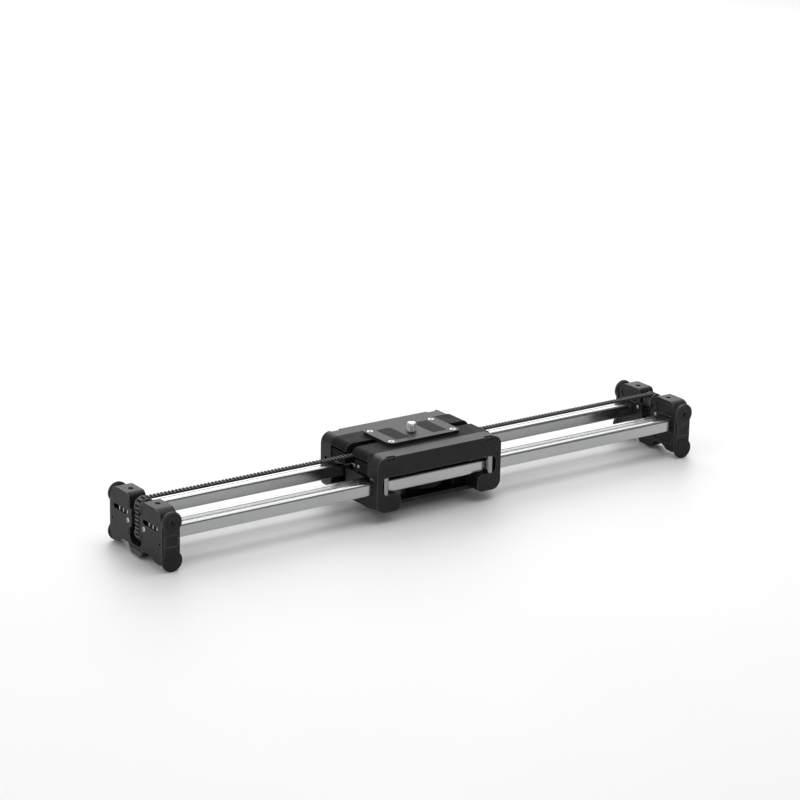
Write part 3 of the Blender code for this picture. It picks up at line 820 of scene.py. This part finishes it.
def leg_arm(corner, end, side):
    """Flat plate behind the pivot bolt and the foot, with a thicker bar between them."""
    at = end_at(FRAME_AT, end, PIVOT.xz)
    drop = PIVOT.z - FOOT.z
    radius = 9.2
    plate_out = LEG_IN + 1.3
    bar_out = LEG_IN + 3.4
    beyond = side * (bar_out + 2)
    behind = side * (LEG_IN - 2)
    outline = rectangle(-radius, -drop - radius, radius, radius, radius - 0.01, 14)
    arm = prism(f"leg_{corner}_arm", outline, "Y", side * LEG_IN, side * plate_out, at)
    bar = rectangle(-8.2, -30.0, 8.2, -5.0)
    weld(arm, prism("tool", bar, "Y", side * (LEG_IN + 0.6), side * bar_out, at))
    cut_bore(arm, BOLT_RADIUS + 0.4, "Y", at, side * plate_out, beyond, 56)
    foot_at = at - Vector((0, 0, drop))
    cut_bore(arm, FOOT_RADIUS + 0.4, "Y", foot_at, side * plate_out, beyond, 56)
    inset = rectangle(-6.4, -23.2, 6.4, -12.4, 1.5)
    cut(arm, prism("tool", inset, "Y", side * (bar_out - 0.35), beyond, at))
    cut_bore(arm, 3.3, "Y", at, behind, beyond)
    cut_bore(arm, 2.5, "Y", foot_at, behind, beyond)
    finish(arm, BLACK, f"leg_{corner}", [f"leg_arm_{corner}"], edge=0.3)


def foot(corner, end, side):
    """Round rubber foot with a groove round its rim."""
    at = end_at(FRAME_AT, end, FOOT.xz)
    r = FOOT_RADIUS
    profile = [
        (0, LEG_IN + GAP), (2.2, LEG_IN + GAP), (2.2, HEAD_IN), (r - 0.5, HEAD_IN), (r - 0.1, HEAD_IN + 0.3),
        (r, HEAD_IN + 0.7), (r, HEAD_IN + 1.2), (r - 0.35, HEAD_IN + 1.4), (r - 0.35, HEAD_IN + 1.7),
        (r, HEAD_IN + 1.9), (r, LEG_OUT - 0.9), (r - 0.25, LEG_OUT - 0.35), (r - 0.9, LEG_OUT),
        (r - 1.8, LEG_OUT), (r - 2.1, LEG_OUT - 0.25), (0, LEG_OUT - 0.25),
    ]
    disc = lathe(f"foot_{corner}_disc", [(radius, side * y) for radius, y in profile], "Y", at, 72)
    finish(disc, FOOT_RUBBER, f"leg_{corner}", [f"foot_{corner}"])


def pivot_bolt(corner, end, side):
    """Round-headed bolt with a bevelled rim and a countersunk hex socket."""
    at = end_at(FRAME_AT, end, PIVOT.xz)
    r = BOLT_RADIUS
    profile = [
        (0, 36.2), (2.7, 36.2), (3.0, 36.5), (3.0, HEAD_IN), (r - 0.3, HEAD_IN), (r, HEAD_IN + 0.3),
        (r, HEAD_IN + 1.5), (r - 0.3, HEAD_IN + 1.7), (r - 0.3, HEAD_IN + 2.0), (r - 0.1, HEAD_IN + 2.2),
        (r - 1.1, LEG_OUT), (4.1, LEG_OUT), (3.0, LEG_OUT - 0.9), (0, LEG_OUT - 0.9),
    ]
    bolt = lathe(f"pivot_{corner}_bolt", [(radius, side * y) for radius, y in profile], "Y", at, 72)
    socket = polygon(2.4, 6, math.pi / 6)
    cut(bolt, prism("tool", socket, "Y", side * (LEG_OUT - 2.9), side * (LEG_OUT + 1), at))
    finish(bolt, BLACK, "rail_frame", [f"pivot_bolt_{corner}"], edge=0.12, edge_steps=1)


# Camera carriage

CAMERA_THREAD = (4.76, 1.5875)  # radius and pitch of a 3/8 inch screw
CLIP_X = 57.5
SIDE_ROLLER = (61.2, 44.6)  # x, y
TOP_ROLLER = (57.0, 7.8)  # x, z
LOW_ROLLER = (56.0, -18.0)  # x, z
DECK_SCREW = (36.0, 18.0)  # x, y
PAST_END = 80  # beyond both carriages' ends


def window_outline():
    """The side plate's window, open between two rounded hooks below, in X and Z."""
    hook = 45.2
    hook_top = -12.8
    window = 66.8
    below = HOOK_FLOOR - 0.05
    half = [
        (PAST_END, -35, 0), (PAST_END, below, 0), (hook, below, 6.0), (hook, hook_top, 6.0),
        (window, hook_top, 5.0), (window, 5.0, 5.0),
    ]
    return mirrored(half, 8)


def side_plate(side_name):
    """C-shaped plate over the rail's outer side, with a window and room for the rollers behind it."""
    side = SIDES[side_name]
    silhouette = [
        (-CARRIAGE_HALF, HOOK_FLOOR, 9.0), (CARRIAGE_HALF, HOOK_FLOOR, 9.0), (CARRIAGE_HALF, PLATE_TOP, 10.0),
        (-CARRIAGE_HALF, PLATE_TOP, 10.0),
    ]
    name = f"{side_name}_carriage_plate"
    plate = prism(name, rounded(silhouette, 10), "Y", side * HOOK_IN, side * PLATE_OUT, CAMERA_AT)
    wall = RAIL_OUTER + 0.5
    behind = side * 29
    cut_box(plate, (-PAST_END, behind, RAIL_FLOOR - 0.5), (PAST_END, side * wall, 3.5), CAMERA_AT)
    cut_box(plate, (-PAST_END, behind, 3.0), (PAST_END, side * 31.3, 30), CAMERA_AT)
    cut(plate, prism("tool", window_outline(), "Y", side * 28, side * 50, CAMERA_AT))
    for end in ENDS.values():
        low_x = end * LOW_ROLLER[0]
        cut_box(plate, (low_x - 5.6, side * 31.9, -23.6), (low_x + 5.6, side * 41.1, -12.0), CAMERA_AT)
        spot = corner_at(CAMERA_AT, end, side, SIDE_ROLLER)
        cut_bore(plate, 3.5, "Z", spot, -13.0, 4.9)
        cut_bore(plate, 1.7, "Z", spot, -16.8, 8.3, 20)
        clip_x = end * CLIP_X
        clip = rectangle(clip_x - 5.2, PLATE_TOP - 4.6, clip_x + 5.2, PLATE_TOP + 2, 0.8)
        cut(plate, prism("tool", clip, "Y", side * (PLATE_OUT - 3.6), side * (PLATE_OUT + 2), CAMERA_AT))
    node = f"{side_name}_side_plate"
    finish(plate, BLACK, "camera_carriage", [node], edge=0.7, edge_steps=3)


def plate_clip(end_name, side_name):
    """Small ribbed clip let into the plate's top edge."""
    side = SIDES[side_name]
    middle = ENDS[end_name] * CLIP_X
    outline = rectangle(middle - 4.9, PLATE_TOP - 4.3, middle + 4.9, PLATE_TOP - 1.0, 0.6)
    name = f"plate_clip_{end_name}_{side_name}"
    clip = prism(name, outline, "Y", side * (PLATE_OUT - 3.4), side * (PLATE_OUT - 1.6), CAMERA_AT)
    for offset in (-2.9, 0.0, 2.9):
        rib_x = middle + offset
        rib = rectangle(rib_x - 0.75, PLATE_TOP - 4.1, rib_x + 0.75, PLATE_TOP - 0.7, 0.5)
        weld(clip, prism("tool", rib, "Y", side * (PLATE_OUT - 2.4), side * (PLATE_OUT - 0.2), CAMERA_AT))
    finish(clip, PLASTIC, "camera_carriage", edge=0.2)


def cover(side_name):
    """Top cover with a roller housing under each end."""
    side = SIDES[side_name]
    shoulder = 17.2
    housing_in = 47.0
    housing_out = 71.5
    half = [
        (CARRIAGE_HALF, COVER_TOP, 7.4),
        (CARRIAGE_HALF, shoulder, 0),
        (66.0, shoulder, 0),
        (66.0, 14.5, 0),
        (housing_out, 14.5, 0.6),
        (housing_out, 3.4, 1.2),
        (housing_in, 3.4, 1.2),
        (housing_in, shoulder, 0),
    ]
    name = f"{side_name}_cover_shell"
    shell = prism(name, mirrored(half, 8), "Y", side * COVER_IN, side * COVER_OUT, CAMERA_AT)
    for end in ENDS.values():
        x = end * TOP_ROLLER[0]
        cut_box(shell, (end * 46, side * 4, 2), (end * PAST_END, side * 9, shoulder), CAMERA_AT)
        cut_box(shell, (x - 8.3, side * 21.6, 2), (x + 8.3, side * 32, 16.2), CAMERA_AT)
        cut_bore(shell, 2.0, "Y", end_at(CAMERA_AT, end, TOP_ROLLER), side * 17.6, side * 22, 20)
    cut_bore(shell, 8.6, "Z", CAMERA_AT, 16, 27, 40)
    finish(shell, PLASTIC, "camera_carriage", [f"{side_name}_cover"], edge=0.5)
    for end_name, end in ENDS.items():
        screw_at = CAMERA_AT + Vector((end * housing_out, side * 15.0, 8.5))
        name = f"housing_screw_{end_name}_{side_name}"
        socket_screw(name, end, screw_at, 1.7, 1.0, "camera_carriage")


def camera_deck():
    """Plate that a camera head stands on, let in for a ribbed grip and two screws in each half."""
    floor = floor_of("camera_deck")
    top = top_of("camera_deck")
    deck = prism("camera_deck_plate", rectangle(-42, -24, 42, 24, 6, 8), "Z", floor, top, CAMERA_AT)
    cut_bore(deck, 5.1, "Z", CAMERA_AT, floor - 1, top + 1, 48)
    for end in ENDS.values():
        pocket = rectangle(end * 13, -17, end * 30, 17, 2)
        cut(deck, prism("tool", pocket, "Z", top - 0.8, top + 1, CAMERA_AT))
        for side in SIDES.values():
            cut_sink(deck, corner_at(CAMERA_AT, end, side, DECK_SCREW), top, 1, 2.2)
    finish(deck, BLACK, "camera_carriage", ["camera_deck"], edge=0.4)
    for end_name, end in ENDS.items():
        deck_grip(end_name, top)
        for side_name, side in SIDES.items():
            screw_at = corner_at(CAMERA_AT, end, side, DECK_SCREW)
            flat_screw(f"deck_screw_{end_name}_{side_name}", screw_at, top, 1, "camera_carriage")


def deck_grip(end_name, top):
    """Rubber strip with ribs across it."""
    end = ENDS[end_name]
    outline = rectangle(end * 13.2, -16.8, end * 29.8, 16.8, 1.8)
    grip = prism(f"deck_grip_{end_name}", outline, "Z", top - 0.8, top - 0.25, CAMERA_AT)
    for index in range(14):
        y = -14.95 + 2.3 * index
        rib = rectangle(end * 14.5, y - 0.6, end * 28.5, y + 0.6, 0.5)
        weld(grip, prism("tool", rib, "Z", top - 0.6, top, CAMERA_AT))
    finish(grip, FOOT_RUBBER, "camera_carriage", edge=0.15, edge_steps=1)


def camera_screw():
    """Captive 3/8 inch screw with a knurled head under the deck."""
    low = floor_of("camera_screw")
    high = top_of("camera_screw")
    radius, pitch = CAMERA_THREAD
    shank = thread("camera_screw_thread", radius, pitch, low + 5.0, high, CAMERA_AT, 48)
    finish(shank, STEEL["Z"], "camera_screw", ["camera_screw"])
    levels = [low, low + 0.4, low + 2.4, low + 4.7, low + 5.1]
    knurls = 40

    def knurled(level, angle):
        inset = 0.45 if level in (levels[0], levels[-1]) else 0.0
        return 8.0 - inset - 0.18 * (1 + math.cos(knurls * angle))

    head = waved("camera_screw_head", CAMERA_AT, 4 * knurls, levels, knurled)
    finish(head, STEEL["Z"], "camera_screw")


def belt_clamp(name, node, outline, x_span, belt_middle, at, body):
    """Block that holds one run of the belt in a tunnel."""
    tunnel = 1.15
    clamp = prism(name, outline, "X", *x_span, at)
    low = (x_span[0] - 1, -BELT_HALF - GAP, belt_middle - tunnel)
    high = (x_span[1] + 1, BELT_HALF + GAP, belt_middle + tunnel)
    cut_box(clamp, low, high, at)
    finish(clamp, GREY, body, [node], edge=0.3)


def belt_clamps():
    """The camera carriage's clamp on the top run and the tripod carriage's on the bottom run."""
    middle = BELT_OUTER - 0.85
    belt_clamp(
        "upper_clamp_block", "upper_belt_clamp", rectangle(-5.0, 12.4, 5.0, 24.9), (20, 34),
        IDLER_HEIGHTS["upper"] + middle, CAMERA_AT, "camera_carriage",
    )
    belt_clamp(
        "lower_clamp_block", "lower_belt_clamp", rectangle(-5.2, -28.0, 5.2, -23.9), (44, 60),
        IDLER_HEIGHTS["lower"] - middle, TRIPOD_AT, "tripod_carriage",
    )


def roller(name, axis, at, profile, material):
    piece = lathe(f"{name}_wheel", profile, axis, at, 56)
    finish(piece, material, name, [name])


def bearing_profile(radius, low, high, spindle, spindle_low, spindle_high):
    """A ball bearing on its spindle: outer ring, shield and inner ring."""
    profile = [(0, spindle_low)]
    if spindle_low < low:
        profile += [(spindle * 0.9, spindle_low), (spindle, spindle_low + 0.2), (spindle, low + 0.1)]
    profile += [
        (spindle + 0.9, low + 0.1), (spindle + 1.0, low + 0.35), (radius - 1.3, low + 0.35),
        (radius - 1.2, low), (radius - 0.3, low), (radius, low + 0.3), (radius, high - 0.3),
        (radius - 0.3, high), (radius - 1.2, high), (radius - 1.3, high - 0.35), (spindle + 1.0, high - 0.35),
        (spindle + 0.9, high - 0.1),
    ]
    if spindle_high > high:
        profile += [(spindle, high - 0.1), (spindle, spindle_high - 0.2), (spindle * 0.9, spindle_high)]
        profile.append((0, spindle_high))
    else:
        profile.append((0, high - 0.1))
    return profile


def mirrored_profile(side, profile):
    return profile if side > 0 else [(radius, -along) for radius, along in profile]


def camera_rollers(corner, end, side):
    """The three rollers at one corner of the camera carriage: on, under and beside the rail."""
    top_at = end_at(CAMERA_AT, end, TOP_ROLLER)
    top = mirrored_profile(side, bearing_profile(7.5, 22.3, 30.3, 1.7, 18.4, 30.3))
    roller(f"top_roller_{corner}", "Y", top_at, top, STEEL["Y"])
    low_at = end_at(CAMERA_AT, end, LOW_ROLLER)
    low = mirrored_profile(side, bearing_profile(5.0, 32.2, 40.7, 1.5, 32.2, 44.5))
    roller(f"low_roller_{corner}", "Y", low_at, low, GREY)
    upright_at = corner_at(CAMERA_AT, end, side, SIDE_ROLLER)
    upright = bearing_profile(3.2, -12.6, 4.6, 1.4, -16.5, 8.0)
    roller(f"side_roller_{corner}", "Z", upright_at, upright, CHROME)


# Tripod carriage

BASE_SCREW = (52.0, 12.0)  # x, y
GUIDE_ROLLER = (60.0, 14.0)  # x, y
SUPPORT_ROLLER = (45.0, -19.0)  # x, z


def base_plate():
    """Plate that stands on the tripod, with a tapped hole, four screws and four notches."""
    notch_x = 20.0
    notch_half = 3
    radius, pitch = CAMERA_THREAD
    outline = rectangle(-CARRIAGE_HALF, -BASE_SIDE, CARRIAGE_HALF, BASE_SIDE, 5, 8)
    plate = prism("tripod_base_plate", outline, "Z", BASE_FLOOR, BASE_TOP, TRIPOD_AT)
    cut(plate, thread("tool", radius, pitch, BASE_FLOOR - 1.6, BASE_TOP + 1.6, TRIPOD_AT, 36))
    for end in ENDS.values():
        for side in SIDES.values():
            cut_sink(plate, corner_at(TRIPOD_AT, end, side, BASE_SCREW), BASE_FLOOR, -1, 2.4)
        for side in SIDES.values():
            inner = (end * notch_x - notch_half, side * (BASE_SIDE - 1.6), BASE_FLOOR - 1)
            outer = (end * notch_x + notch_half, side * (BASE_SIDE + 1), BASE_FLOOR + 1.2)
            cut_box(plate, inner, outer, TRIPOD_AT)
    finish(plate, BLACK, "tripod_carriage", ["base_plate"], edge=0.4)
    for corner, end, side in CORNERS:
        screw_at = corner_at(TRIPOD_AT, end, side, BASE_SCREW)
        flat_screw(f"base_screw_{corner}", screw_at, BASE_FLOOR, -1, "tripod_carriage")


def tripod_frame():
    """Two trucks joined by a bridge over the ribbed wheel, with a tunnel for the belt's bottom run."""
    floor = floor_of("tripod_frame")
    top = top_of("tripod_frame")
    half_width = high_of("tripod_frame").y
    outline = rectangle(-72.0, -half_width, 72.0, half_width, 3)
    bridge = prism("tripod_truck_frame", outline, "Z", floor, top, TRIPOD_AT)
    cut_box(bridge, (-28, -30, -30), (28, 30, -13.4), TRIPOD_AT)
    cut_box(bridge, (-PAST_END, -5.5, -30), (PAST_END, 5.5, -23.6), TRIPOD_AT)
    for end in ENDS.values():
        support_at = end_at(TRIPOD_AT, end, SUPPORT_ROLLER)
        for side in SIDES.values():
            guide_at = corner_at(TRIPOD_AT, end, side, GUIDE_ROLLER)
            cut_bore(bridge, 8.4, "Z", guide_at, -14.9, 0, 48)
            cut_bore(bridge, 2.3, "Z", guide_at, -19.8, -14, 20)
            cut_bore(bridge, 2.0, "Y", support_at, side * 14.7, side * 21, 20)
        pocket = rectangle(end * 8, -13, end * 36, 13, 3)
        cut(bridge, prism("tool", pocket, "Z", top - 2.5, top + 1, TRIPOD_AT))
    cut_bore(bridge, 3.3, "Z", TRIPOD_AT, -15, -7.7, 24)
    finish(bridge, BLACK, "tripod_carriage", ["tripod_frame"], edge=0.4)


def ribbed_wheel():
    """Thumb wheel with fine upright ribs round its rim, on a stub that turns in the bridge."""
    low = floor_of("ribbed_wheel")
    top = -14.0
    radius = 25.0
    edge = 0.8
    ribs = 90

    def radius_at(level, angle):
        depth = 0.35 * (1 + math.cos(ribs * angle))
        if level in (low, top):
            return radius - edge - depth * 0.3
        return radius - depth

    wheel = waved("thumb_wheel", TRIPOD_AT, ribs * 4, [low, low + edge, top - edge, top], radius_at)
    stub = [(0, top - 1), (3.0, top - 1), (3.0, -8.0), (0, -8.0)]
    weld(wheel, lathe("tool", stub, "Z", TRIPOD_AT, 32))
    finish(wheel, PLASTIC, "ribbed_wheel", ["ribbed_wheel"])


def tripod_rollers(corner, end, side):
    """The upright guide roller and the support roller at one corner of the tripod carriage."""
    guide = [
        (0, -19.5), (1.8, -19.5), (2.0, -19.3), (2.0, -14.4), (7.2, -14.4), (7.5, -14.1), (7.5, -13.3),
        (7.2, -13.0), (6.2, -13.0), (6.0, -12.8), (6.0, 0.1), (6.2, 0.3), (7.2, 0.3), (7.5, 0.6), (7.5, 1.5),
        (7.2, 1.8), (5.0, 1.8), (4.8, 1.5), (2.8, 1.5), (2.6, 1.8), (0, 1.8),
    ]
    guide_at = corner_at(TRIPOD_AT, end, side, GUIDE_ROLLER)
    roller(f"guide_roller_{corner}", "Z", guide_at, guide, STEEL["Z"])
    support = mirrored_profile(side, bearing_profile(6.0, 21.2, 29.2, 1.7, 15.0, 29.2))
    support_at = end_at(TRIPOD_AT, end, SUPPORT_ROLLER)
    # The support roller takes the darkened steel: painted shade.
    roller(f"support_roller_{corner}", "Y", support_at, support, SHADED_STEEL)


# The studio

BRIGHT_SIDE = Vector((-0.5, 0.6, 0.3))
DARKEST_WORLD = 0.2
BRIGHTEST_WORLD = 0.7
LIGHT_DISTANCE = 3.0
FLOOR_RADIUS = 30


def look_direction(azimuth, elevation):
    """The direction from the object back to the camera, with azimuth 0 seen from the front."""
    flat = math.cos(elevation)
    return Vector((math.sin(azimuth) * flat, -math.cos(azimuth) * flat, math.sin(elevation)))


def camera():
    azimuth = math.radians(-35.63)
    elevation = math.radians(17.65)
    roll = math.radians(1.26)
    distance = 2.698
    shift = (0.01365, -0.05505)
    back = look_direction(azimuth, elevation)
    level = Vector((math.cos(azimuth), math.sin(azimuth), 0))
    upright = back.cross(level)
    right = level * math.cos(roll) + upright * math.sin(roll)
    up = upright * math.cos(roll) - level * math.sin(roll)
    data = bpy.data.cameras.new("camera")
    data.lens = 125.9
    data.sensor_width = 36
    data.clip_end = 60
    eye = bpy.data.objects.new("camera", data)
    spot = back * distance - right * shift[0] - up * shift[1] + FRAME_AT * MM
    eye.matrix_world = Matrix.Translation(spot) @ Matrix((right, up, back)).transposed().to_4x4()
    bpy.context.scene.collection.objects.link(eye)
    bpy.context.scene.camera = eye


def area_light(name, azimuth, elevation, size, power):
    """A square softbox facing the object."""
    data = bpy.data.lights.new(name, "AREA")
    data.shape = "SQUARE"
    data.size = size
    data.energy = power
    lamp = bpy.data.objects.new(name, data)
    back = look_direction(math.radians(azimuth), math.radians(elevation))
    lamp.location = back * LIGHT_DISTANCE
    lamp.rotation_euler = back.to_track_quat("Z", "Y").to_euler()
    bpy.context.scene.collection.objects.link(lamp)


def world_light():
    """Soft surroundings, bright at the back and left and darker at the front and right."""
    world = bpy.data.worlds.new("studio")
    world.use_nodes = True
    tree = world.node_tree
    coordinates = tree.nodes.new("ShaderNodeTexCoord")
    facing = tree.nodes.new("ShaderNodeVectorMath")
    facing.operation = "DOT_PRODUCT"
    facing.inputs[1].default_value = BRIGHT_SIDE.normalized()
    spread = tree.nodes.new("ShaderNodeMapRange")
    spread.inputs["From Min"].default_value = -1.0
    spread.inputs["To Min"].default_value = DARKEST_WORLD
    spread.inputs["To Max"].default_value = BRIGHTEST_WORLD
    tree.links.new(coordinates.outputs["Generated"], facing.inputs[0])
    tree.links.new(facing.outputs["Value"], spread.inputs["Value"])
    tree.links.new(spread.outputs["Result"], tree.nodes["Background"].inputs["Strength"])
    tree.nodes["Background"].inputs["Color"].default_value = (1, 1, 1, 1)
    bpy.context.scene.world = world


def studio():
    world_light()
    area_light("softbox_top", azimuth=60, elevation=78, size=2.2, power=34)
    area_light("softbox_back", azimuth=148, elevation=34, size=2.6, power=42)
    area_light("softbox_left", azimuth=-95, elevation=35, size=1.5, power=8)
    shape = bmesh.new()
    bmesh.ops.create_circle(shape, cap_ends=True, radius=FLOOR_RADIUS, segments=64)
    floor = new_piece("floor", shape, (0, 0, 0))
    floor.data.materials.append(floor_paint())
    bpy.context.scene.view_settings.view_transform = "Standard"


def main():
    camera()
    studio()
    for side_name in SIDES:
        rail(side_name)
        side_plate(side_name)
        for end_name in ENDS:
            plate_clip(end_name, side_name)
        cover(side_name)
    for end_name in ENDS:
        end_block(end_name)
        for side_name in SIDES:
            latch(end_name, side_name)
            block_screws(end_name, side_name)
        tongue_pad(end_name)
        for level in IDLER_HEIGHTS:
            idler(end_name, level)
            axle(end_name, level)
    drive_belt()
    for corner, end, side in CORNERS:
        leg_arm(corner, end, side)
        foot(corner, end, side)
        pivot_bolt(corner, end, side)
        camera_rollers(corner, end, side)
        tripod_rollers(corner, end, side)
    camera_deck()
    camera_screw()
    belt_clamps()
    base_plate()
    tripod_frame()
    ribbed_wheel()


main()
